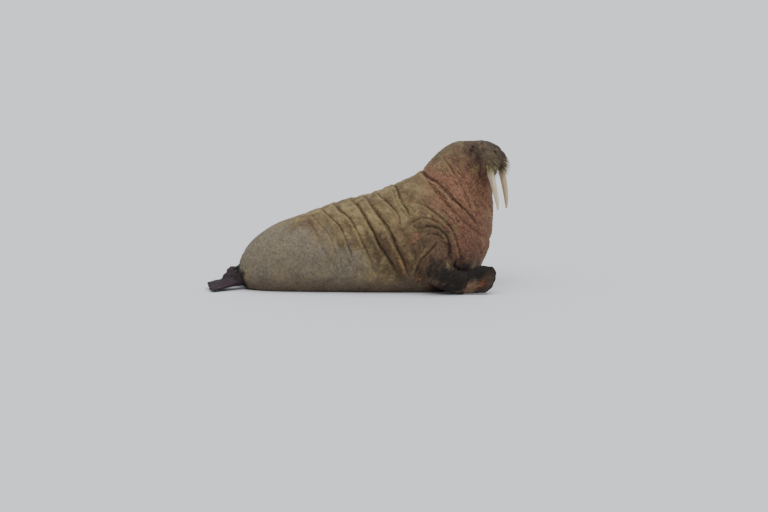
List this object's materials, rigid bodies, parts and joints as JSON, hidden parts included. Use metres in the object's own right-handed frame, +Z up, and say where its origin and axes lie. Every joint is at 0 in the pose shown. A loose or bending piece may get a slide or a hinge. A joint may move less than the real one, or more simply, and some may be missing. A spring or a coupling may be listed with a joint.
{
  "type": "walrus model",
  "caption": "Life-size bull walrus lying on its belly, forequarters raised and head turned to its right, with long tusks, whisker pads and rolls of hide on the back.",
  "frame": {"origin": "on the floor, under the middle of the animal's outline", "axes": "+X from the tail towards the head, +Y towards the animal's left side, +Z up"},
  "size_m": [2.7854, 1.3582, 1.3662],
  "materials": {
    "hide": "thick wrinkled olive-brown skin with short flat fur",
    "hide_red": "lumpy, folded red-brown skin of the neck and chest",
    "hide_dark": "dark bare skin of the muzzle and flippers",
    "ivory": "worn ivory, smooth, with fine lengthwise cracks",
    "eye": "wet dark eye"
  },
  "bodies": {
    "root": {"head": "hide", "jaw": "hide_dark", "pad_right": "hide_dark", "pad_left": "hide_dark", "tusk_right": "ivory", "tusk_left": "ivory", "eye_right": "eye", "eye_left": "eye", "neck": "hide_red", "chest": "hide_red", "torso": "hide", "hips": "hide", "tail": "hide_dark", "arm_right": "hide_dark", "arm_left": "hide_dark", "hand_right": "hide_dark", "hand_left": "hide_dark", "shank_right": "hide_dark", "shank_left": "hide_dark", "foot_right": "hide_dark", "foot_left": "hide_dark"}
  },
  "joints": []
}
